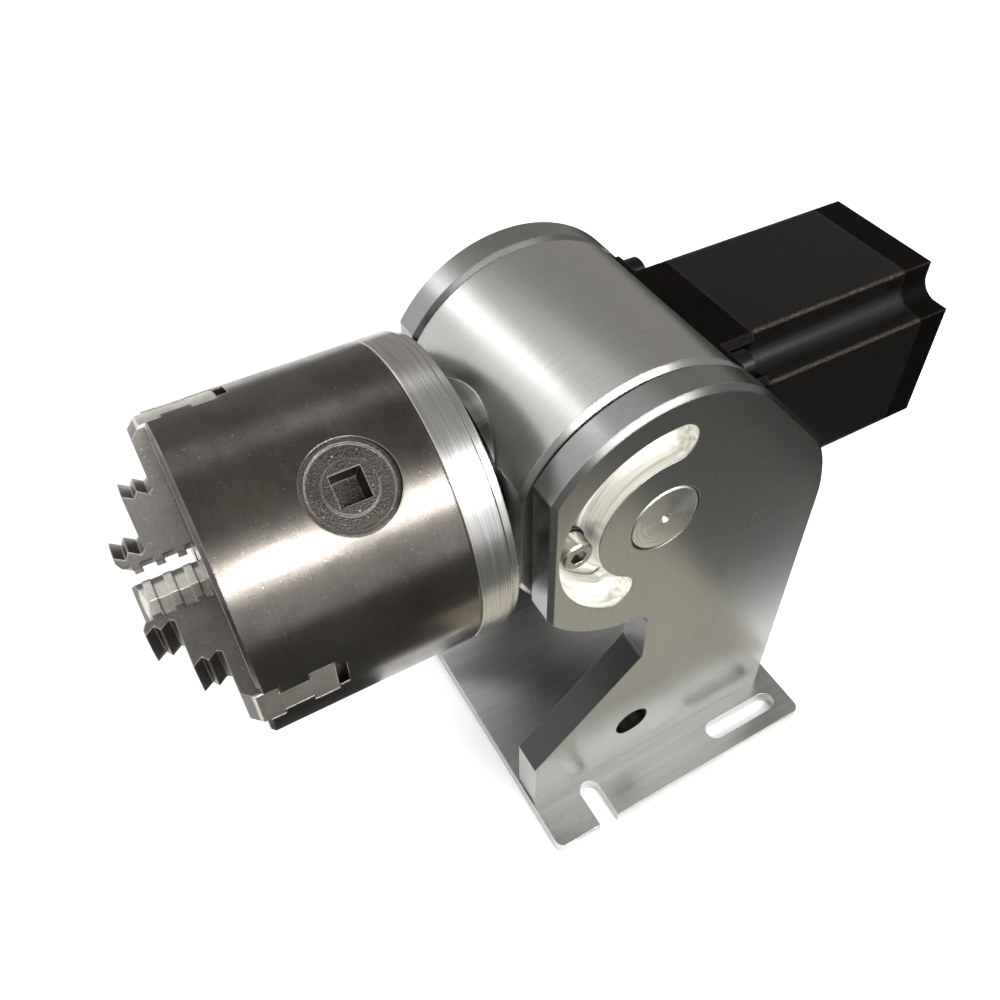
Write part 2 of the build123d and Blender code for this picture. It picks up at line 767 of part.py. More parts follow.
def guide_slot():
    """Stepped slot for one jaw, along +Y, open at the rim and at the bore."""
    wide = jaw_half_width + slide_gap
    neck = jaw_neck_half_width + slide_gap
    tooth = jaw_tooth_half_width + swing_gap
    far = chuck_diameter / 2 + 2
    slot = block(deep(-1), deep(jaw_guide_depth + slide_gap), 0, far, -wide, wide)
    slot += block(deep(0), deep(jaw_neck_depth), 0, far, -neck, neck)
    slot += block(deep(jaw_neck_depth - slide_gap), deep(jaw_base_depth + slide_gap),
                  0, far, -wide, wide)
    return slot + block(deep(jaw_base_depth), deep(jaw_tooth_depth + slide_gap),
                        0, far, -tooth, tooth)


def pinion_bore():
    """Bore for one pinion and the hole of its retaining pin, along +Y."""
    radius = pinion_head_diameter / 2 + running
    bore = rod_y(radius, cavity_radius - 2, chuck_diameter / 2 + 2, deep(pinion_depth))
    pin = rod_x(pinion_pin_diameter / 2 + slip, deep(pinion_depth), deep(chuck_length) + 1,
                pinion_groove_radius)
    return bore + pin


def chuck_body():
    """Steel chuck body: guided front web, scroll cavity, central boss, pinion bores."""
    outer = chuck_diameter / 2
    bore = chuck_bore / 2
    boss = hub_boss_diameter / 2
    rear = chuck_length - register_depth - rear_cover_thickness
    body = turned([
        (deep(0), bore), (deep(0), outer - rim_chamfer), (deep(rim_chamfer), outer),
        (deep(chuck_length), outer), (deep(chuck_length), register_radius),
        (deep(cover_seat), register_radius), (deep(cover_seat), cavity_radius),
        (deep(cavity_start), cavity_radius), (deep(cavity_start), boss),
        (deep(rear), boss), (deep(rear), bore),
    ])
    for angle in jaw_angles:
        body -= about_x(angle, guide_slot())
        body -= about_x(angle, rod_x(m6[0] / 2 + slip, deep(chuck_length - chuck_bolt_depth - 1),
                                     deep(chuck_length) + 1, chuck_bolt_radius))
        body -= about_x(angle, rod_x(m3[0] / 2 + slip, deep(cover_seat - 9), deep(cover_seat) + 1,
                                     rear_cover_screw_radius))
    for angle in pinion_angles:
        body -= about_x(angle, pinion_bore())
    return body


def chuck_rear_cover():
    """Cover that closes the scroll's cavity, sunk below the register."""
    plate = ring_x(register_radius - slip, chuck_bore / 2, deep(cover_seat),
                   deep(cover_seat + rear_cover_thickness))
    cone = (m3[1] - m3[0]) / 2
    rear = deep(cover_seat + rear_cover_thickness)
    for angle in jaw_angles:
        hole = rod_x(m3[0] / 2 + slip, deep(cover_seat) - 1, rear + 1, rear_cover_screw_radius)
        sink = Pos(rear - cone / 2, rear_cover_screw_radius, 0) * Rot(0, 90, 0)
        sink *= Cone(m3[0] / 2 + slip, m3[1] / 2 + slip, cone)
        plate -= about_x(angle, hole + sink)
    return plate


def chuck_cover_screws():
    """Countersunk screws of the rear cover."""
    rear = deep(cover_seat + rear_cover_thickness)
    screw = Pos(rear, rear_cover_screw_radius, 0) * Rot(0, 90, 0)
    screw *= countersunk_screw(m3, rear_cover_thickness + 8)
    return group([about_x(angle, screw) for angle in jaw_angles])


def scroll_point(angle, offset):
    """Point of the scroll's groove centre line, shifted radially, at an angle in degrees."""
    radius = scroll_phase - scroll_pitch * angle / 360 + offset
    return radius * cos(radians(angle)), radius * sin(radians(angle))


def scroll_ridge():
    """Spiral ridge that the jaws' teeth run in, on the scroll's front face."""
    outer_limit = cavity_radius - swing_gap
    inner_limit = hub_boss_diameter / 2 + 0.6
    start = -360 * (inner_limit - scroll_phase - scroll_pitch) / scroll_pitch
    end = -360 * (outer_limit - scroll_phase + scroll_pitch) / scroll_pitch
    steps = int((start - end) / 15)
    angles = [start + (end - start) * i / steps for i in range(steps + 1)]
    half = scroll_ridge_width / 2
    middle = scroll_pitch / 2
    inner = [scroll_point(a, middle - half) for a in angles]
    outer = [scroll_point(a, middle + half) for a in angles]
    edges = [Spline(inner), Line(inner[-1], outer[-1]), Spline(outer), Line(outer[0], inner[0])]
    band = extrude(Plane.YZ * make_face(edges), scroll_ridge_height + slip)
    band = Pos(deep(ridge_top), 0, 0) * band
    return band & ring_x(outer_limit, inner_limit, deep(ridge_top), deep(ridge_base + slip))


def crown_tooth_section(radius, addendum, dedendum, half_pitch_width):
    """Trapezoid of one crown tooth at a radius, in tooth-wise and axial coordinates."""
    scale = radius / crown_reference_radius
    pitch_x = deep(pinion_depth - radius / gear_ratio)
    slope = tan(radians(22))
    tip = (half_pitch_width - addendum * slope) * scale
    root = (half_pitch_width + dedendum * slope) * scale
    return [
        (pitch_x - dedendum * scale, radius, -root), (pitch_x + addendum * scale, radius, -tip),
        (pitch_x + addendum * scale, radius, tip), (pitch_x - dedendum * scale, radius, root),
    ]


def tooth_sizes():
    """Module, addendum, dedendum and half thickness at the reference radius."""
    module = 2 * crown_reference_radius / gear_ratio / pinion_teeth
    return module, 0.72 * module, 1.3 * module, 0.2 * pi * module


def crown_teeth_ring():
    """Bevel teeth on the back of the scroll."""
    module, addendum, dedendum, half = tooth_sizes()
    outer = crown_reference_radius + crown_face_width / 2
    inner = crown_reference_radius - crown_face_width / 2
    sections = [make_face(Polyline(crown_tooth_section(r, addendum, dedendum, half), close=True))
                for r in (inner, outer)]
    tooth = loft(sections, ruled=True)
    step = 360 / crown_teeth
    return [about_x(first_pinion_angle + step * (i + 0.5), tooth) for i in range(crown_teeth)]


def scroll():
    """Scroll disc: spiral in front, bevel teeth behind, hub on the body's boss."""
    outer = cavity_radius - swing_gap
    bore = hub_boss_diameter / 2 + running
    hub = scroll_hub_diameter / 2
    disc = ring_x(outer, bore, deep(ridge_base), deep(disc_rear))
    disc += ring_x(hub, bore, deep(disc_rear), deep(cover_seat - swing_gap))
    disc += crown_teeth_ring()
    return disc + scroll_ridge()


def jaw_outline():
    """Half section of a jaw above and below the chuck face, as (x, radius) points."""
    def riser(radius, top, foot):
        """Serrated step face, from its top edge down to its foot."""
        return [
            (top, radius), (top - jaw_notch_drop, radius - jaw_notch_depth),
            (top - jaw_crest_drop, radius + 0.1), (foot + 0.9, radius - jaw_notch_depth),
            (foot, radius - jaw_notch_depth / 2),
        ]
    inner = jaw_tip_radius - 1
    points = [(jaw_tip_height, inner)]
    points += riser(jaw_first_step, jaw_tip_height, jaw_step_height)
    points += riser(jaw_second_step, jaw_step_height, jaw_foot_height)
    points += [(jaw_foot_height, jaw_outer_end - jaw_foot_bevel),
               (jaw_foot_height - jaw_foot_bevel, jaw_outer_end), (-jaw_base_depth, jaw_outer_end),
               (-jaw_base_depth, inner)]
    return [(chuck_face_x - a, r) for a, r in points]


def jaw_wedge(offset, x0, x1):
    """Everything outside the jaw's V-shaped gripping end, moved outwards by an offset."""
    tip = jaw_tip_radius + offset
    reach = jaw_half_width + 1
    rise = reach / tan(radians(60))
    outline = make_face(Polyline([(0, -reach), (tip + rise, -reach), (tip, 0),
                                  (tip + rise, reach), (0, reach)], close=True))
    return Pos(min(x0, x1), 0, 0) * extrude(Plane.YZ * outline, abs(x1 - x0))


def jaw_tooth(radius):
    """One scroll tooth of a jaw: a crescent that fits every turn of the spiral."""
    b = jaw_tooth_half_width
    half = jaw_tooth_thickness / 2
    outer_sag = b ** 2 / (2 * 16)
    inner_sag = b ** 2 / (2 * 45)
    edges = [
        ThreePointArc((radius + half - outer_sag, -b), (radius + half, 0),
                      (radius + half - outer_sag, b)),
        Line((radius + half - outer_sag, b), (radius - half - inner_sag, b)),
        ThreePointArc((radius - half - inner_sag, b), (radius - half, 0),
                      (radius - half - inner_sag, -b)),
        Line((radius - half - inner_sag, -b), (radius + half - outer_sag, -b)),
    ]
    start = jaw_base_depth - slip
    return Pos(deep(start), 0, 0) * extrude(Plane.YZ * make_face(edges), jaw_tooth_depth - start)


def jaw_tooth_radii(angle):
    """Radii at which the scroll's groove passes under a jaw, inside the jaw's length."""
    first = scroll_phase - scroll_pitch * angle / 360
    radii = [first + scroll_pitch * k for k in range(20)]
    low = jaw_tip_radius + jaw_tooth_half_width / tan(radians(60)) + jaw_tooth_thickness / 2 + 0.4
    return [r for r in radii if low < r < jaw_outer_end - jaw_tooth_thickness]


def jaw(angle):
    """Stepped, serrated jaw in its guide, with the rack of teeth for its place."""
    front = chuck_face_x - jaw_tip_height
    rear = deep(jaw_base_depth)
    body = turned(jaw_outline())
    body &= block(front - 1, rear + 1, 0, jaw_outer_end + 1, -jaw_half_width, jaw_half_width)
    body -= jaw_wedge(0, front - 1, rear + 1)
    edges = [0] + [h for land in jaw_land_heights
                   for h in (land - jaw_land_width / 2, land + jaw_land_width / 2)]
    edges.append(jaw_tip_height + 1)
    for low, high in zip(edges[0::2], edges[1::2]):
        body -= jaw_wedge(jaw_land_relief, chuck_face_x - high, chuck_face_x - low)
    body -= jaw_tip_corner()
    neck = jaw_half_width - jaw_neck_half_width
    for side in (-1, 1):
        body -= block(deep(jaw_guide_depth), deep(jaw_neck_depth), 0, jaw_outer_end + 1,
                      side * (jaw_half_width - neck), side * (jaw_half_width + 1))
    for radius in jaw_tooth_radii(angle):
        body += jaw_tooth(radius)
    return about_x(angle, body)


def jaw_tip_corner():
    """Bevel along the top of the jaw's gripping end."""
    top = chuck_face_x - jaw_tip_height
    low = top + 1.5 * jaw_tip_chamfer
    inner = jaw_tip_radius + jaw_land_relief
    side = inner + jaw_half_width / tan(radians(60)) + jaw_tip_chamfer
    outline = make_face(Polyline([(top - 1, 0, 0), (top - 1, side + 0.6, 0), (top, side, 0),
                                  (low, inner, 0), (low, 0, 0)], close=True))
    return Pos(0, 0, -jaw_half_width - 1) * extrude(outline, 2 * jaw_half_width + 2)


def pinion_tooth_section(radius):
    """Cross-section of one pinion tooth at a distance from the chuck axis."""
    module, addendum, dedendum, half = tooth_sizes()
    scale = radius / crown_reference_radius
    pitch = crown_reference_radius / gear_ratio
    shape = [(pitch - dedendum - 0.3, 0.9 * half), (pitch - 0.3 * module, 1.04 * half),
             (pitch + 0.35 * module, 0.74 * half), (pitch + addendum, 0.34 * half)]
    left = [(-r * scale, radius, -w * scale) for r, w in shape]
    right = [(-r * scale, radius, w * scale) for r, w in reversed(shape)]
    return make_face(Polyline(left + right, close=True))


def pinion(angle):
    """Key-driven bevel pinion: square socket outside, teeth inside."""
    module, addendum, dedendum, half = tooth_sizes()
    root = crown_reference_radius / gear_ratio - dedendum
    outer = crown_reference_radius + crown_face_width / 2 + swing_gap
    inner = crown_reference_radius - crown_face_width / 2 - swing_gap
    head = pinion_head_diameter / 2
    gear = loft([section_circle(root, r) for r in (inner, outer)], ruled=True)
    tooth = loft([pinion_tooth_section(r) for r in (inner, outer)], ruled=True)
    gear += [Rot(0, 360 / pinion_teeth * i, 0) * tooth for i in range(pinion_teeth)]
    body = rod_y(head, outer, pinion_face_radius)
    groove_low = pinion_groove_radius - pinion_groove_width / 2
    groove_high = pinion_groove_radius + pinion_groove_width / 2
    body -= (rod_y(head + 1, groove_low, groove_high)
             - rod_y(head - pinion_groove_depth, groove_low - 1, groove_high + 1))
    body -= (rod_y(head - pinion_ring_width, pinion_face_radius - pinion_ring_relief, pinion_face_radius + 1)
             - rod_y(pinion_collar_diameter / 2, pinion_face_radius - 1, pinion_face_radius + 1))
    square = pinion_square / 2
    body -= block(-square, square, pinion_face_radius - pinion_square_depth, pinion_face_radius + 1,
                  -square, square)
    return about_x(angle, Pos(deep(pinion_depth), 0, 0) * (body + gear))


def section_circle(root, radius):
    """Root circle of the pinion's cone at a distance from the chuck axis."""
    scale = radius / crown_reference_radius
    return Plane((0, radius, 0), x_dir=(1, 0, 0), z_dir=(0, 1, 0)) * Circle(root * scale)


def pinion_retaining_pins():
    """Pins from the chuck's back that hold the pinions by their grooves."""
    tip = pinion_depth + pinion_head_diameter / 2 - pinion_groove_depth + swing_gap
    pin = rod_x(pinion_pin_diameter / 2, deep(tip), deep(chuck_length) - 0.2, pinion_groove_radius)
    return group([about_x(angle, pin) for angle in pinion_angles])


def build_parts():
    """Every node of the model by name, in the row frame."""
    mirrored = Plane.XZ
    parts = {"base_plate": base_plate(), "plate_screws": plate_screws()}
    head = {
        "front_side_plate": front_side_plate(),
        "housing": housing(),
        "front_pivot_pin": front_pivot_pin(),
        "front_clamp_screw": front_clamp_screw(),
        "front_clamp_washer": front_clamp_washer(),
        "bearing_snap_ring": bearing_snap_ring(),
        "chuck_end_bearing_outer": bearing_outer_ring(bearing_start_x),
        "chuck_end_bearing_inner": bearing_inner_ring(bearing_start_x),
        "chuck_end_bearing_balls": bearing_balls(bearing_start_x),
        "motor_end_bearing_outer": bearing_outer_ring(bearing_2_x),
        "motor_end_bearing_inner": bearing_inner_ring(bearing_2_x),
        "motor_end_bearing_balls": bearing_balls(bearing_2_x),
        "outer_spacer": outer_spacer(),
        "inner_spacer": inner_spacer(),
        "motor_front_cap": motor_front_cap(),
        "motor_stator": motor_stator(),
        "motor_rear_cap": motor_rear_cap(),
        "motor_connector": motor_connector(),
        "motor_front_bearing": motor_bearing(stator_x - motor_bearing_width + slip),
        "motor_rear_bearing": motor_bearing(rear_cap_x),
        "motor_screws": motor_screws(),
        "motor_rotor": motor_rotor(),
        "spindle_shaft": spindle_shaft(),
        "coupling_hub_spindle": coupling_hub_spindle(),
        "coupling_hub_motor": coupling_hub_motor(),
        "coupling_spider": coupling_spider(),
        "coupling_set_screws": coupling_set_screws(),
        "adapter_flange": adapter_flange(),
        "nose_screws": nose_screws(),
        "chuck_screws": chuck_screws(),
        "chuck_body": chuck_body(),
        "chuck_rear_cover": chuck_rear_cover(),
        "chuck_cover_screws": chuck_cover_screws(),
        "pinion_retaining_pins": pinion_retaining_pins(),
        "scroll": scroll(),
    }
    for name in ("side_plate", "pivot_pin", "clamp_screw", "clamp_washer"):
        head["rear_" + name] = mirror(head["front_" + name], mirrored)
    for i, angle in enumerate(jaw_angles):
        head[f"jaw_{i + 1}"] = jaw(angle)
    for i, angle in enumerate(pinion_angles):
        head[f"pinion_{i + 1}"] = pinion(angle)
    parts.update({name: lift * shape for name, shape in head.items()})
    return parts


if __name__ == "__main__":
    os.makedirs("parts", exist_ok=True)
    for name, shape in build_parts().items():
        export_step(shape, f"parts/{name}.step")
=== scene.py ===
"""Dresses the tilting rotary axis in metal, paint and plastic, and sets up camera and lamps."""

import logging
import math
from dataclasses import dataclass, field
from enum import Enum

import bpy
from mathutils import Matrix, Vector

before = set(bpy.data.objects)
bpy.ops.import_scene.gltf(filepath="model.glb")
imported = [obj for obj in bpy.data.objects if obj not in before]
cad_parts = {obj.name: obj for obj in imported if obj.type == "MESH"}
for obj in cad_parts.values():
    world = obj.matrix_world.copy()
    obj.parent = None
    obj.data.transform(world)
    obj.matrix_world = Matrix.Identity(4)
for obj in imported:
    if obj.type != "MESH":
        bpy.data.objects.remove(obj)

log = logging.getLogger("rotary_axis")
logging.basicConfig(level=logging.INFO, format="%(name)s: %(message)s")

Colour = tuple[float, float, float]
Point = tuple[float, float, float]
Socket = bpy.types.NodeSocket

TILT_AXIS_Z = 0.1262
SLOT_DEPTH_Y = 0.0397
SLOT_INNER_RADIUS = 0.0192
SLOT_OUTER_RADIUS = 0.0315
BRACE_TOP_Z = 0.09
BOSS_RADIUS = 0.0247
BOSS_FRONT_X = -0.0335
BOSS_ROOT_X = -0.031
SMALLEST_RADIUS = 0.0005
TURN_LENGTH = 0.0006
ALONG_SQUEEZE = 0.03
# edge colour: partly wear, partly a painted highlight on rounded edges
BRIGHT_EDGE = (0.92, 0.91, 0.89)
SCRATCH_COLOUR = (0.9, 0.9, 0.88)
SPECK_COLOUR = (0.75, 0.72, 0.68)
# pale slot colours: painted light that makes the slot walls read bright, streaked like cutter marks
SLOT_PAINTED_LIGHT_DIM = (0.6, 0.59, 0.54)
SLOT_PAINTED_LIGHT_PALE = (0.97, 0.96, 0.9)


class Lay(Enum):
    """Direction that the cutting or grinding marks of a surface run in."""

    AROUND_X = "round the spindle"
    AROUND_Y = "round the tilt axis"
    ALONG_X = "lengthwise"
    ALONG_Z = "upright"
    EVEN = "no direction"


class Sheet:
    """A node material under construction."""

    def __init__(self, name: str) -> None:
        """Start an empty material with a principled shader.

        Args:
            name: Name of the material.
        """
        self.material = bpy.data.materials.new(name)
        self.material.use_nodes = True
        self.tree = self.material.node_tree
        self.tree.nodes.clear()
        self.shader = self.add("ShaderNodeBsdfPrincipled")
        output = self.add("ShaderNodeOutputMaterial")
        self.join(self.shader.outputs[0], output.inputs[0])

    def add(self, kind: str, **settings: object) -> bpy.types.Node:
        """Add a node.

        Args:
            kind: Blender's name for the node type.
            **settings: Properties to set on the node.

        Returns:
            The new node.
        """
        node = self.tree.nodes.new(kind)
        for key, value in settings.items():
            setattr(node, key, value)
        return node

    def join(self, source: Socket, target: Socket) -> None:
        """Link two sockets."""
        self.tree.links.new(source, target)

    def feed(self, node: bpy.types.Node, index: int, value: object) -> None:
        """Set an input of a node, from a socket or a plain value.

        Args:
            node: Node to feed.
            index: Number of the input.
            value: Socket, number, or tuple.
        """
        if isinstance(value, Socket):
            self.join(value, node.inputs[index])
        else:
            node.inputs[index].default_value = value

    def math(self, operation: str, *values: object) -> Socket:
        """Add a math node.

        Args:
            operation: Blender's name for the operation.
            *values: Sockets or numbers.

        Returns:
            The result's socket.
        """
        node = self.add("ShaderNodeMath", operation=operation)
        for i, value in enumerate(values):
            self.feed(node, i, value)
        return node.outputs[0]

    def remap(
        self, value: object, low: float, high: float, new_low: float, new_high: float
    ) -> Socket:
        """Stretch a range of values to another one, with clamping.

        Args:
            value: Socket or number to change.
            low: Value that becomes new_low.
            high: Value that becomes new_high.
            new_low: Lower end of the result.
            new_high: Upper end of the result.

        Returns:
            The stretched value's socket.
        """
        node = self.add("ShaderNodeMapRange")
        for i, item in enumerate((value, low, high, new_low, new_high)):
            self.feed(node, i, item)
        return node.outputs[0]

    def blend(
        self, factor: object, first: object, second: object, mode: str = "MIX"
    ) -> Socket:
        """Mix two colours.

        Args:
            factor: Share of the second colour.
            first: First colour, as a socket or a tuple.
            second: Second colour.
            mode: Blend mode.

        Returns:
            The mixed colour's socket.
        """
        node = self.add("ShaderNodeMix", data_type="RGBA", blend_type=mode)
        self.feed(node, 0, factor)
        for index, value in ((6, first), (7, second)):
            if isinstance(value, tuple) and len(value) == 3:
                value = (*value, 1.0)
            self.feed(node, index, value)
        return node.outputs[2]

    def grey(self, value: Socket) -> Socket:
        """Make a grey colour of a value.

        Args:
            value: Brightness.

        Returns:
            The colour's socket.
        """
        node = self.add("ShaderNodeCombineColor")
        for channel in node.inputs:
            self.join(value, channel)
        return node.outputs[0]

    def split(self, vector: Socket) -> list[Socket]:
        """Split a vector.

        Args:
            vector: Vector to split.

        Returns:
            Its x, y and z sockets.
        """
        node = self.add("ShaderNodeSeparateXYZ")
        self.join(vector, node.inputs[0])
        return list(node.outputs)

    def place(self) -> Socket:
        """Position on the piece, in metres."""
        return self.add("ShaderNodeTexCoord").outputs["Object"]

    def lay_coordinates(self, lay: Lay) -> tuple[Socket, object]:
        """Coordinates that change quickly across the marks and slowly along them.

        Args:
            lay: Direction of the marks.

        Returns:
            A vector socket and a fourth coordinate.
        """
        place = self.place()
        if lay in (Lay.AROUND_X, Lay.AROUND_Y):
            centred = self.add("ShaderNodeVectorMath", operation="SUBTRACT")
            self.feed(centred, 0, place)
            centred.inputs[1].default_value = (0.0, 0.0, TILT_AXIS_Z)
            parts = self.split(centred.outputs[0])
            along, across = (0, 1) if lay is Lay.AROUND_X else (1, 0)
            sides = [self.math("ABSOLUTE", parts[i]) for i in (across, 2)]
            squares = [self.math("POWER", side, 2.0) for side in sides]
            radius = self.math("SQRT", self.math("ADD", *squares))
            safe = self.math("MAXIMUM", radius, SMALLEST_RADIUS)
            vector = self.add("ShaderNodeCombineXYZ")
            self.join(parts[along], vector.inputs[0])
            for i, part in ((1, across), (2, 2)):
                turn = self.math("DIVIDE", parts[part], safe)
                self.join(self.math("MULTIPLY", turn, TURN_LENGTH), vector.inputs[i])
            return vector.outputs[0], radius
        stretches = {
            Lay.ALONG_X: (ALONG_SQUEEZE, 1.0, 1.0),
            Lay.ALONG_Z: (1.0, 1.0, ALONG_SQUEEZE),
            Lay.EVEN: (1.0, 1.0, 1.0),
        }
        scaled = self.add("ShaderNodeVectorMath", operation="MULTIPLY")
        self.feed(scaled, 0, place)
        scaled.inputs[1].default_value = stretches[lay]
        return scaled.outputs[0], 0.0

    def noise(
        self, vector: object, scale: float, detail: float, fourth: object = 0.0
    ) -> Socket:
        """Noise between 0 and 1.

        Args:
            vector: Coordinates to read.
            scale: Cycles per metre.
            detail: Number of finer layers.
            fourth: Fourth coordinate, in metres.

        Returns:
            The noise's value socket.
        """
        node = self.add("ShaderNodeTexNoise", noise_dimensions="4D")
        self.join(vector, node.inputs["Vector"])
        if isinstance(fourth, Socket):
            self.join(fourth, node.inputs["W"])
        node.inputs["Scale"].default_value = scale
        node.inputs["Detail"].default_value = detail
        return node.outputs[0]

    def to_piece(self, normal: Socket) -> Socket:
        """Turn a normal from the scene's axes to the piece's own, which move with it.

        Args:
            normal: Normal in the scene's axes.

        Returns:
            The normal in the piece's axes.
        """
        node = self.add("ShaderNodeVectorTransform", vector_type="NORMAL")
        node.convert_from, node.convert_to = "WORLD", "OBJECT"
        self.join(normal, node.inputs[0])
        return node.outputs[0]

    def edge_share(self, radius: float) -> tuple[Socket, Socket]:
        """Rounded normal near edges, and how near an edge a point lies.

        Args:
            radius: Width of the rounding in metres.

        Returns:
            The rounded normal and a share that is 1 on an edge.
        """
        bevel = self.add("ShaderNodeBevel", samples=4)
        bevel.inputs["Radius"].default_value = radius
        plain = self.add("ShaderNodeNewGeometry")
        dot = self.add("ShaderNodeVectorMath", operation="DOT_PRODUCT")
        self.join(bevel.outputs[0], dot.inputs[0])
        self.join(plain.outputs["Normal"], dot.inputs[1])
        return bevel.outputs[0], self.remap(dot.outputs["Value"], 0.84, 0.995, 1.0, 0.0)

    def bump(self, height: object, distance: float, normal: object) -> Socket:
        """Bump from a height.

        Args:
            height: Height socket.
            distance: Height of the full range in metres.
            normal: Normal to start from.

        Returns:
            The bumped normal.
        """
        node = self.add("ShaderNodeBump")
        node.inputs["Strength"].default_value = 0.5
        node.inputs["Distance"].default_value = distance
        self.join(height, node.inputs["Height"])
        self.join(normal, node.inputs["Normal"])
        return node.outputs[0]


@dataclass(frozen=True)
class MetalFinish:
    """Bare metal with machining marks, stains and specks, edges painted brighter as wear and
    painted highlight, painted shade on chamfers, brace and boss, and painted light in the slot.
    """

    name: str
    colour: Colour
    stain: Colour
    roughness: float
    lay: Lay = Lay.EVEN
    mark_scale: float = 900.0
    mark_depth: float = 0.00002
    mark_contrast: float = 0.25
    blotch_scale: float = 30.0
    blotch_share: float = 0.5
    scratch_share: float = 0.0
    speck_share: float = 0.0
    grit: float = 0.0
    edge_radius: float = 0.0005
    edge_gain: float = 0.35
    anisotropy: float = 0.0
    rim_radius: float = 0.0
    tip_radius: float = 0.0
    rim_colour: Colour = (0.72, 0.7, 0.64)
    slot_glow: float = 0.0
    chamfer_painted_shade: float = 1.0
    boss_painted_shadow: float = 1.0
    brace_painted_shade: float = 1.0

    def make(self) -> bpy.types.Material:
        """Build the material.

        Returns:
            The finished material.
        """
        sheet = Sheet(self.name)
        vector, fourth = sheet.lay_coordinates(self.lay)
        even = sheet.place()
        marks = sheet.noise(vector, self.mark_scale, 3.0, fourth)
        blotches = sheet.noise(even, self.blotch_scale, 4.0)
        share = sheet.remap(blotches, 0.35, 0.7, 0.0, self.blotch_share)
        colour = sheet.blend(share, self.colour, self.stain)
        if self.rim_radius > 0:
            _, radius = sheet.lay_coordinates(Lay.AROUND_X)
            rim, tip = self.rim_radius, self.tip_radius
            outer = sheet.remap(radius, rim - 0.0002, rim + 0.0002, 0.0, 1.0)
            inner = sheet.remap(radius, tip - 0.0004, tip + 0.0004, 1.0, 0.0)
            ground = sheet.math("MAXIMUM", outer, inner)
            colour = sheet.blend(ground, colour, self.rim_colour)
        contrast = self.mark_contrast
        tone = sheet.remap(marks, 0.3, 0.7, 1.0 - contrast, 1.0 + 0.4 * contrast)
        colour = sheet.blend(1.0, colour, sheet.grey(tone), "MULTIPLY")
        # painted shade on chamfers and brace, painted shadow on the boss
        if self.chamfer_painted_shade < 1:
            colour = self.paint_shade(sheet, colour)
        height = marks
        if self.scratch_share > 0:
            lines = sheet.noise(vector, self.mark_scale * 0.35, 1.0, fourth)
            long_marks = sheet.remap(lines, 0.62, 0.72, 0.0, self.scratch_share)
            colour = sheet.blend(long_marks, colour, SCRATCH_COLOUR)
            height = sheet.math("ADD", marks, long_marks)
        if self.speck_share > 0:
            specks = sheet.noise(even, 1400.0, 2.0)
            dots = sheet.remap(specks, 0.66, 0.74, 0.0, self.speck_share)
            colour = sheet.blend(dots, colour, SPECK_COLOUR)
            height = sheet.math("ADD", height, sheet.math("MULTIPLY", specks, self.speck_share))
        if self.grit > 0:
            pits = sheet.noise(even, 2600.0, 4.0)
            film = sheet.noise(even, 180.0, 5.0)
            dark = sheet.math("ADD", sheet.remap(pits, 0.32, 0.48, self.grit, 0.0),
                              sheet.remap(film, 0.48, 0.7, 0.0, self.grit))
            colour = sheet.blend(dark, colour, tuple(0.4 * c for c in self.stain))
            height = sheet.math("ADD", height, pits)
        # edges painted toward BRIGHT_EDGE: partly worn metal, partly a painted highlight where
        # rounded edges catch the lamps
        rounded, edge = sheet.edge_share(self.edge_radius)
        wear_and_highlight = sheet.math("MULTIPLY", edge, self.edge_gain)
        colour = sheet.blend(wear_and_highlight, colour, BRIGHT_EDGE)
        sheet.join(colour, sheet.shader.inputs["Base Color"])
        rough = sheet.remap(blotches, 0.3, 0.7, self.roughness * 0.85, self.roughness * 1.2)
        if self.grit > 0:
            rough = sheet.math("ADD", rough, sheet.remap(film, 0.35, 0.65, -0.02, 0.04))
        sheet.join(rough, sheet.shader.inputs["Roughness"])
        sheet.join(sheet.bump(height, self.mark_depth, rounded), sheet.shader.inputs["Normal"])
        sheet.shader.inputs["Metallic"].default_value = 1.0
        # slot walls painted pale and less metallic, as painted light
        if self.slot_glow > 0:
            self.paint_slot_light(sheet, colour, rough)
        if self.anisotropy > 0 and self.lay in (Lay.AROUND_X, Lay.AROUND_Y):
            axis = "X" if self.lay is Lay.AROUND_X else "Y"
            tangent = sheet.add("ShaderNodeTangent", direction_type="RADIAL", axis=axis)
            sheet.join(tangent.outputs[0], sheet.shader.inputs["Tangent"])
            sheet.shader.inputs["Anisotropic"].default_value = self.anisotropy
        return sheet.material

    def paint_shade(self, sheet: Sheet, colour: Socket) -> Socket:
        """Paint shade on upward-facing bevelled edges and the sloping cut of a plate, and a painted
        shadow on the boss that faces the chuck.

        Args:
            sheet: Material under construction.
            colour: Colour of the rest.

        Returns:
            The colour with the duller places.
        """
        # bevels that face upward are painted darker, as painted shade
        geometry = sheet.add("ShaderNodeNewGeometry")
        _, sideways, upward = sheet.split(sheet.to_piece(geometry.outputs["True Normal"]))
        slope = sheet.math("ABSOLUTE", sideways)
        off_rim = sheet.remap(slope, 0.3, 0.4, 0.0, 1.0)
        off_face = sheet.remap(slope, 0.85, 0.95, 1.0, 0.0)
        skyward = sheet.remap(upward, 0.05, 0.2, 0.0, 1.0)
        sloped = sheet.math("MULTIPLY", sheet.math("MULTIPLY", off_rim, off_face), skyward)
        tone = sheet.remap(sloped, 0.0, 1.0, 1.0, self.chamfer_painted_shade)
        place_x, _, place_z = sheet.split(sheet.place())
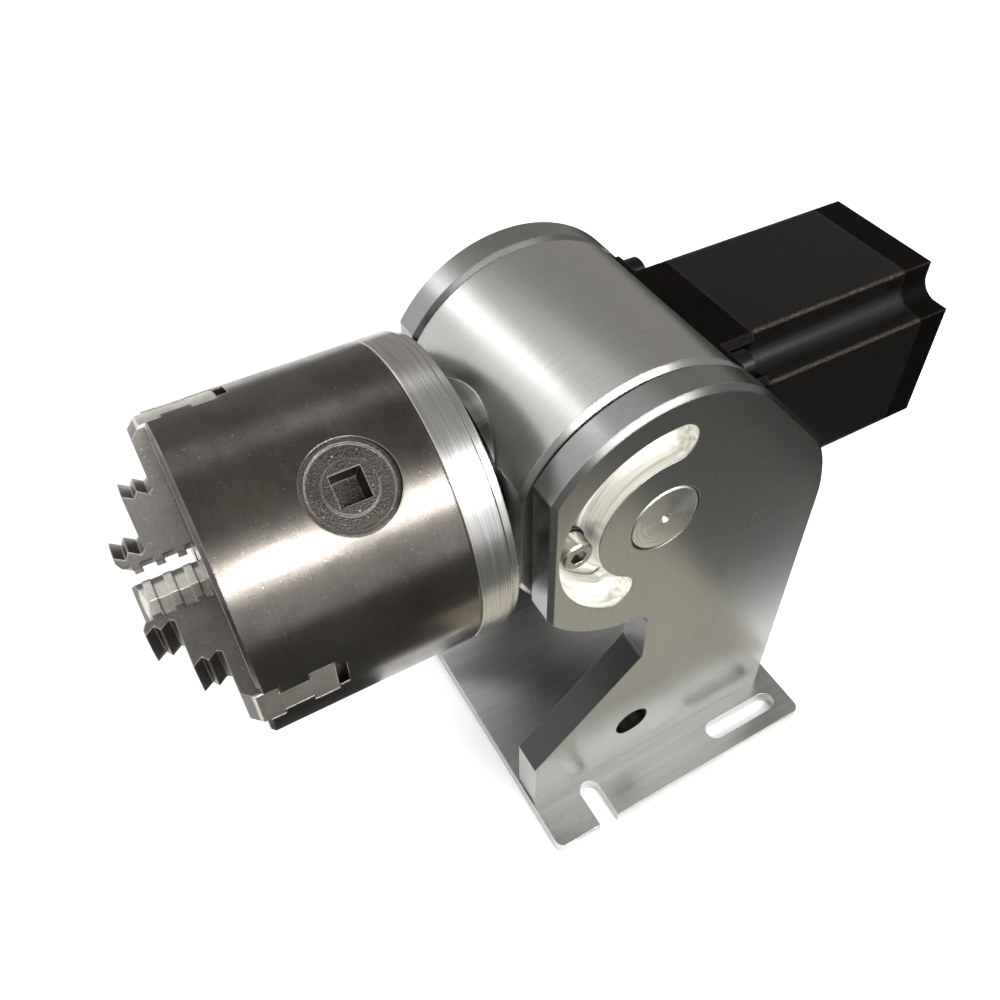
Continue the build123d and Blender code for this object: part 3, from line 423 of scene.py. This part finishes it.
        # the sloping brace is painted darker, as painted shade
        if self.brace_painted_shade < 1:
            low = sheet.math("LESS_THAN", place_z, BRACE_TOP_Z)
            rising = sheet.remap(upward, 0.2, 0.3, 0.0, 1.0)
            flat = sheet.math("LESS_THAN", slope, 0.2)
            brace = sheet.math("MULTIPLY", sheet.math("MULTIPLY", low, rising), flat)
            share = sheet.remap(brace, 0.0, 1.0, 1.0, self.brace_painted_shade)
            tone = sheet.math("MULTIPLY", tone, share)
        # the boss in front of the drum is painted dark, as a painted shadow gap behind the flange
        if self.boss_painted_shadow < 1:
            _, radius = sheet.lay_coordinates(Lay.AROUND_X)
            ahead = sheet.remap(place_x, BOSS_FRONT_X, BOSS_ROOT_X, 1.0, 0.0)
            boss = sheet.math("MULTIPLY", ahead, sheet.math("LESS_THAN", radius, BOSS_RADIUS))
            share = sheet.remap(boss, 0.0, 1.0, 1.0, self.boss_painted_shadow)
            tone = sheet.math("MULTIPLY", tone, share)
        return sheet.blend(1.0, colour, sheet.grey(tone), "MULTIPLY")

    def paint_slot_light(self, sheet: Sheet, colour: Socket, rough: Socket) -> None:
        """Paint the walls of the curved slot pale and make them duller and less metallic: painted
        light that makes the slot read bright, streaked along the arcs as a cutter leaves them.

        Args:
            sheet: Material under construction.
            colour: Colour of the rest.
            rough: Roughness of the rest.
        """
        arcs, radius = sheet.lay_coordinates(Lay.AROUND_Y)
        _, place_y, _ = sheet.split(sheet.place())
        deep = sheet.math("LESS_THAN", sheet.math("ABSOLUTE", place_y), SLOT_DEPTH_Y)
        inner = sheet.math("GREATER_THAN", radius, SLOT_INNER_RADIUS)
        outer = sheet.math("LESS_THAN", radius, SLOT_OUTER_RADIUS)
        share = sheet.math("MULTIPLY", sheet.math("MULTIPLY", inner, outer), deep)
        streaks = sheet.noise(arcs, 900.0, 2.0, radius)
        pale_share = sheet.remap(streaks, 0.36, 0.62, 0.0, 1.0)
        pale = sheet.blend(pale_share, SLOT_PAINTED_LIGHT_DIM, SLOT_PAINTED_LIGHT_PALE)
        duller = sheet.math("ADD", rough, sheet.math("MULTIPLY", share, 0.15))
        metal = sheet.math("SUBTRACT", 1.0, sheet.math("MULTIPLY", share, self.slot_glow))
        sheet.join(sheet.blend(share, colour, pale), sheet.shader.inputs["Base Color"])
        sheet.join(duller, sheet.shader.inputs["Roughness"])
        sheet.join(metal, sheet.shader.inputs["Metallic"])


@dataclass(frozen=True)
class PaintFinish:
    """Paint, plastic or rubber with a fine grain, and edges painted another colour, partly as wear
    and partly as a painted highlight.
    """

    name: str
    colour: Colour
    wear_and_highlight_colour: Colour
    roughness: float
    grain_scale: float = 1200.0
    grain_depth: float = 0.00006
    edge_radius: float = 0.0009
    edge_share: float = 0.3
    mottle: float = 0.25
    shine: float = 0.5
    grainy_wear_and_highlight_from: float = 0.35
    lengthwise: bool = False

    def make(self) -> bpy.types.Material:
        """Build the material.

        Returns:
            The finished material.
        """
        sheet = Sheet(self.name)
        even = sheet.place()
        grain = sheet.noise(even, self.grain_scale, 3.0)
        cloud = sheet.noise(even, 40.0, 3.0)
        dark = tuple(c * (1.0 - self.mottle) for c in self.colour)
        light = tuple(min(1.0, c * (1.0 + self.mottle)) for c in self.colour)
        colour = sheet.blend(sheet.remap(cloud, 0.35, 0.65, 0.0, 1.0), dark, light)
        rounded, edge = sheet.edge_share(self.edge_radius)
        # grainy edge colour: partly wear, partly a painted highlight along the ridges
        grainy_wear_and_highlight = sheet.remap(grain, self.grainy_wear_and_highlight_from, 0.6, 0.2, 1.0)
        # only edges that run along the piece keep the painted highlight and wear
        if self.lengthwise:
            endways = sheet.math("ABSOLUTE", sheet.split(sheet.to_piece(rounded))[0])
            grainy_wear_and_highlight = sheet.math("MULTIPLY", grainy_wear_and_highlight, sheet.remap(endways, 0.02, 0.2, 1.0, 0.0))
        wear_and_highlight = sheet.math("MULTIPLY", sheet.math("MULTIPLY", edge, self.edge_share), grainy_wear_and_highlight)
        colour = sheet.blend(wear_and_highlight, colour, self.wear_and_highlight_colour)
        sheet.join(colour, sheet.shader.inputs["Base Color"])
        rough = sheet.remap(grain, 0.3, 0.7, self.roughness * 0.85, self.roughness * 1.15)
        sheet.join(rough, sheet.shader.inputs["Roughness"])
        sheet.join(sheet.bump(grain, self.grain_depth, rounded), sheet.shader.inputs["Normal"])
        sheet.shader.inputs["Specular IOR Level"].default_value = self.shine
        return sheet.material


class Rack:
    """Every finish of the object, made once."""

    def __init__(self) -> None:
        """Make all the finishes."""
        finishes: dict[str, MetalFinish | PaintFinish] = {
            "base": MetalFinish(
                "milled_base", (0.5, 0.51, 0.495), (0.42, 0.43, 0.42), 0.3, Lay.ALONG_X,
                mark_scale=700, mark_contrast=0.12, scratch_share=0.12, edge_gain=0.5,
            ),
            "plate": MetalFinish(
                "milled_plate", (0.34, 0.343, 0.333), (0.27, 0.275, 0.27), 0.26, Lay.ALONG_Z,
                mark_scale=800, mark_contrast=0.05, mark_depth=0.000004, blotch_scale=14,
                edge_radius=0.0004, edge_gain=0.22, slot_glow=0.3, chamfer_painted_shade=0.3,
                brace_painted_shade=0.25,
            ),
            "drum": MetalFinish(
                "turned_drum", (0.54, 0.54, 0.52), (0.45, 0.45, 0.435), 0.26, Lay.AROUND_Y,
                mark_scale=1500, mark_contrast=0.05, mark_depth=0.000003, blotch_scale=20,
                edge_radius=0.0005, edge_gain=0.25, slot_glow=0.3, chamfer_painted_shade=0.35,
                boss_painted_shadow=0.45,
            ),
            "pin": MetalFinish(
                "turned_pin", (0.6, 0.59, 0.57), (0.5, 0.49, 0.48), 0.26, Lay.AROUND_Y,
                mark_scale=2600, mark_contrast=0.22, mark_depth=0.000005, edge_gain=0.6,
                anisotropy=0.7,
            ),
            "flange": MetalFinish(
                "scratched_flange", (0.62, 0.615, 0.6), (0.42, 0.41, 0.4), 0.24, Lay.AROUND_X,
                mark_scale=4200, mark_contrast=0.3, mark_depth=0.00002, scratch_share=0.3,
                blotch_scale=45, edge_gain=0.7, anisotropy=0.3,
            ),
            "chuck": MetalFinish(
                "ground_chuck", (0.2, 0.183, 0.165), (0.085, 0.076, 0.066), 0.205, Lay.AROUND_X,
                mark_scale=2200, mark_contrast=0.09, mark_depth=0.00001, blotch_scale=48,
                blotch_share=0.9, speck_share=0.3, grit=0.25, edge_gain=0.3, anisotropy=0.2,
            ),
            "jaw": MetalFinish(
                "hardened_jaw", (0.2, 0.183, 0.168), (0.11, 0.1, 0.093), 0.36, Lay.EVEN,
                mark_scale=3200, mark_contrast=0.25, mark_depth=0.00003, blotch_scale=70,
                speck_share=0.3, grit=0.2, edge_gain=0.45, rim_radius=0.0392, tip_radius=0.0105,
            ),
            "pinion": MetalFinish(
                "hardened_pinion", (0.075, 0.067, 0.059), (0.038, 0.033, 0.03), 0.38, Lay.EVEN,
                mark_scale=2600, mark_contrast=0.5, mark_depth=0.00012, blotch_scale=90,
                speck_share=0.5, grit=0.35, edge_gain=0.6,
            ),
            "screw": MetalFinish(
                "oiled_screw", (0.12, 0.118, 0.115), (0.07, 0.07, 0.068), 0.3, Lay.EVEN,
                edge_radius=0.0003, edge_gain=0.5,
            ),
            "lock_screw": MetalFinish(
                "bright_lock_screw", (0.4, 0.39, 0.36), (0.26, 0.25, 0.22), 0.25, Lay.EVEN,
                edge_radius=0.0003, edge_gain=0.35,
            ),
            # washer coloured near black
            "washer": MetalFinish(
                "near_black_washer", (0.05, 0.05, 0.046), (0.03, 0.03, 0.03), 0.35, edge_gain=0.1,
            ),
            "black_screw": MetalFinish(
                "black_screw", (0.03, 0.028, 0.027), (0.015, 0.015, 0.015), 0.3,
                edge_radius=0.0003, edge_gain=0.12,
            ),
            "bearing": MetalFinish(
                "ground_bearing", (0.6, 0.6, 0.6), (0.5, 0.5, 0.5), 0.15, Lay.AROUND_X,
                mark_scale=3000,
            ),
            "spindle": MetalFinish(
                "turned_spindle", (0.5, 0.49, 0.48), (0.4, 0.39, 0.38), 0.24, Lay.AROUND_X,
                mark_scale=2500, mark_contrast=0.25,
            ),
            "coupling": MetalFinish(
                "turned_coupling", (0.6, 0.6, 0.6), (0.5, 0.5, 0.5), 0.28, Lay.AROUND_X,
                mark_scale=1800,
            ),
            "motor_cap": PaintFinish(
                "black_cap", (0.0018, 0.0014, 0.0012), (0.09, 0.078, 0.065), 0.4, shine=0.03,
            ),
            "motor_stack": PaintFinish(
                "black_stack", (0.0018, 0.0013, 0.0009), (0.16, 0.13, 0.095), 0.36,
                grain_scale=1500, grain_depth=0.00014, edge_radius=0.0018, edge_share=0.5,
                shine=0.22, grainy_wear_and_highlight_from=0.46, lengthwise=True,
            ),
            "socket": PaintFinish("cream_socket", (0.78, 0.76, 0.7), (0.85, 0.84, 0.8), 0.45),
            "rubber": PaintFinish("red_rubber", (0.45, 0.05, 0.04), (0.5, 0.1, 0.08), 0.6),
        }
        self.materials = {key: finish.make() for key, finish in finishes.items()}

    def dress(self, finish: str, *nodes: str) -> None:
        """Give CAD nodes a finish.

        Args:
            finish: Key of the finish.
            *nodes: Names of the nodes.
        """
        for name in nodes:
            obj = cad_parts[name]
            slots = obj.data.materials
            slots.clear()
            slots.append(self.materials[finish])
            log.info("%s: %s", name, finish)


@dataclass
class FixedFrame:
    """Base and side plates."""

    rack: Rack

    def dress(self) -> None:
        """Finish the fixed pieces."""
        self.rack.dress("base", "base_plate")
        self.rack.dress("plate", "front_side_plate", "rear_side_plate")
        self.rack.dress("screw", "plate_screws")


@dataclass
class TiltingHead:
    """Drum, pivots, clamps and spindle bearings."""

    rack: Rack

    def dress(self) -> None:
        """Finish the head's pieces."""
        self.rack.dress("drum", "housing")
        self.rack.dress("pin", "front_pivot_pin", "rear_pivot_pin")
        self.rack.dress("lock_screw", "front_clamp_screw", "rear_clamp_screw")
        self.rack.dress("washer", "front_clamp_washer", "rear_clamp_washer")
        self.rack.dress("screw", "bearing_snap_ring")
        self.rack.dress(
            "bearing",
            "chuck_end_bearing_outer", "chuck_end_bearing_inner", "chuck_end_bearing_balls",
            "motor_end_bearing_outer", "motor_end_bearing_inner", "motor_end_bearing_balls",
        )
        self.rack.dress("spindle", "outer_spacer", "inner_spacer", "spindle_shaft")


@dataclass
class StepperMotor:
    """Motor, its screws and the shaft coupling."""

    rack: Rack

    def dress(self) -> None:
        """Finish the motor's pieces."""
        self.rack.dress("motor_cap", "motor_front_cap", "motor_rear_cap")
        self.rack.dress("motor_stack", "motor_stator")
        self.rack.dress("socket", "motor_connector")
        self.rack.dress("black_screw", "motor_screws", "coupling_set_screws")
        self.rack.dress("bearing", "motor_front_bearing", "motor_rear_bearing")
        self.rack.dress("spindle", "motor_rotor")
        self.rack.dress("coupling", "coupling_hub_spindle", "coupling_hub_motor")
        self.rack.dress("rubber", "coupling_spider")


@dataclass
class ScrollChuck:
    """Chuck, adapter flange, jaws and pinions."""

    rack: Rack

    def dress(self) -> None:
        """Finish the chuck's pieces."""
        self.rack.dress("flange", "adapter_flange")
        self.rack.dress("chuck", "chuck_body", "chuck_rear_cover", "scroll")
        self.rack.dress("jaw", "jaw_1", "jaw_2", "jaw_3")
        self.rack.dress("pinion", "pinion_1", "pinion_2", "pinion_3")
        self.rack.dress("screw", "nose_screws", "chuck_screws", "chuck_cover_screws")
        self.rack.dress("bearing", "pinion_retaining_pins")


@dataclass(frozen=True)
class Lamp:
    """Soft rectangular lamp."""

    name: str
    toward: Point
    distance: float
    width: float
    height: float
    power: float
    reflected: bool = True

    def place(self, target: Vector) -> None:
        """Put the lamp in a direction from a point, facing it.

        Args:
            target: Point that the lamp faces.
        """
        data = bpy.data.lights.new(self.name, "AREA")
        data.shape = "RECTANGLE"
        data.size = self.width
        data.size_y = self.height
        data.energy = self.power
        obj = bpy.data.objects.new(self.name, data)
        bpy.context.scene.collection.objects.link(obj)
        way = Vector(self.toward).normalized()
        obj.location = target + way * self.distance
        obj.rotation_euler = way.to_track_quat("Z", "Y").to_euler()
        obj.visible_camera = False
        obj.visible_glossy = self.reflected


@dataclass(frozen=True)
class Card:
    """Flat card that only shiny surfaces see."""

    name: str
    centre: Point
    width: float
    height: float
    tone: Colour
    facing: Point

    def place(self) -> None:
        """Set the card up beside the object."""
        bpy.ops.object.select_all(action="DESELECT")
        bpy.ops.mesh.primitive_plane_add(size=1.0)
        obj = bpy.context.active_object
        obj.name = self.name
        obj.scale = (self.width, self.height, 1.0)
        obj.location = self.centre
        obj.rotation_euler = Vector(self.facing).to_track_quat("Z", "Y").to_euler()
        material = bpy.data.materials.new(self.name)
        material.use_nodes = True
        tree = material.node_tree
        tree.nodes.clear()
        glow = tree.nodes.new("ShaderNodeEmission")
        glow.inputs[0].default_value = (*self.tone, 1.0)
        output = tree.nodes.new("ShaderNodeOutputMaterial")
        tree.links.new(glow.outputs[0], output.inputs[0])
        obj.data.materials.append(material)
        obj.visible_camera = False
        obj.visible_diffuse = False
        obj.visible_shadow = False
        obj.visible_transmission = False


@dataclass
class Studio:
    """Camera, lamps, cards, floor and surroundings."""

    camera_place: Point = (-0.10832, -0.15594, 0.30149)
    view_right: Point = (0.86215, -0.50661, 0.00611)
    view_down: Point = (-0.36967, -0.63728, -0.67618)
    view_forward: Point = (0.34646, 0.58071, -0.73671)
    lens: float = 33.99
    shift_x: float = -0.0302
    target: Vector = field(default_factory=lambda: Vector((-0.03, 0.0, 0.12)))
    lamps: tuple[Lamp, ...] = (
        Lamp("front_lamp", (0.12, -0.752, 0.635), 0.9, 1.0, 0.28, 12.2),
        Lamp("left_lamp", (-0.375, 0.69, 0.61), 0.9, 0.1, 0.4, 0.42),
        Lamp("top_lamp", (0.3, -0.2, 1.0), 1.1, 0.9, 0.9, 7.0, False),
    )
    cards: tuple[Card, ...] = (
        Card("rear_card", (0.45, 0.75, 0.5), 1.7, 1.12, (0.36, 0.345, 0.32), (-0.5, -0.8, -0.3)),
        Card("side_card", (1.0, 0.45, 0.5), 0.9, 1.2, (0.17, 0.165, 0.15), (-0.85, -0.5, -0.05)),
        Card("front_card", (0.0, -0.77, 0.002), 2.4, 1.4, (0.17, 0.17, 0.155), (0.0, 0.0, 1.0)),
        Card("near_card", (0.02, -0.1, 0.004), 0.1, 0.1, (0.85, 0.8, 0.66), (0.0, 0.0, 1.0)),
        Card("under_card", (-0.107, -0.03, 0.002), 0.09, 0.1, (0.08, 0.08, 0.078), (0.0, 0.0, 1.0)),
        Card("far_card", (0.75, 0.6, 0.002), 1.2, 1.6, (0.05, 0.05, 0.047), (0.0, 0.0, 1.0)),
        Card("high_card", (0.1, -0.05, 1.3), 1.6, 1.2, (0.38, 0.37, 0.34), (0.0, 0.0, -1.0)),
    )

    def set_camera(self) -> None:
        """Put the camera where the photograph was taken from."""
        data = bpy.data.cameras.new("view_camera")
        data.sensor_width = 36.0
        data.lens = self.lens
        data.shift_x = self.shift_x
        data.clip_start = 0.01
        data.clip_end = 20.0
        obj = bpy.data.objects.new("view_camera", data)
        bpy.context.scene.collection.objects.link(obj)
        columns = Matrix((
            Vector(self.view_right),
            -Vector(self.view_down),
            -Vector(self.view_forward),
        )).transposed()
        obj.matrix_world = Matrix.Translation(self.camera_place) @ columns.to_4x4()
        bpy.context.scene.camera = obj

    def lay_floor(self) -> None:
        """Lay a plain pale floor that shows white around the object's shadow."""
        bpy.ops.object.select_all(action="DESELECT")
        bpy.ops.mesh.primitive_plane_add(size=6.0)
        floor = bpy.context.active_object
        floor.name = "floor"
        material = bpy.data.materials.new("pale_floor")
        material.use_nodes = True
        tree = material.node_tree
        shader = tree.nodes["Principled BSDF"]
        shader.inputs["Base Color"].default_value = (0.9, 0.9, 0.9, 1.0)
        shader.inputs["Roughness"].default_value = 0.9
        shader.inputs["Specular IOR Level"].default_value = 0.0
        floor.data.materials.append(material)

    def light_world(self) -> None:
        """Even pale surroundings, white to the eye and in reflections."""
        world = bpy.data.worlds.new("studio")
        bpy.context.scene.world = world
        world.use_nodes = True
        tree = world.node_tree
        tree.nodes.clear()
        rays = tree.nodes.new("ShaderNodeLightPath")
        first = tree.nodes.new("ShaderNodeMath")
        first.operation = "MAXIMUM"
        second = tree.nodes.new("ShaderNodeMath")
        second.operation = "MAXIMUM"
        tree.links.new(rays.outputs["Is Camera Ray"], first.inputs[0])
        tree.links.new(rays.outputs["Is Glossy Ray"], first.inputs[1])
        tree.links.new(first.outputs[0], second.inputs[0])
        tree.links.new(rays.outputs["Is Transmission Ray"], second.inputs[1])
        strength = tree.nodes.new("ShaderNodeMapRange")
        strength.inputs["To Min"].default_value = 0.75
        strength.inputs["To Max"].default_value = 1.0
        tree.links.new(second.outputs[0], strength.inputs[0])
        glow = tree.nodes.new("ShaderNodeBackground")
        glow.inputs[0].default_value = (1.0, 1.0, 1.0, 1.0)
        tree.links.new(strength.outputs[0], glow.inputs[1])
        output = tree.nodes.new("ShaderNodeOutputWorld")
        tree.links.new(glow.outputs[0], output.inputs[0])

    def build(self) -> None:
        """Set the whole studio up."""
        self.set_camera()
        self.lay_floor()
        self.light_world()
        for lamp in self.lamps:
            lamp.place(self.target)
        for card in self.cards:
            card.place()
        bpy.context.scene.view_settings.view_transform = "Standard"


def main() -> None:
    """Build every part of the scene in order."""
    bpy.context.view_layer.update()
    Studio().build()
    log.info("studio ready")
    rack = Rack()
    for part in (FixedFrame(rack), TiltingHead(rack), StepperMotor(rack), ScrollChuck(rack)):
        part.dress()
        log.info("%s dressed", type(part).__name__)


if __name__ == "__main__":
    main()
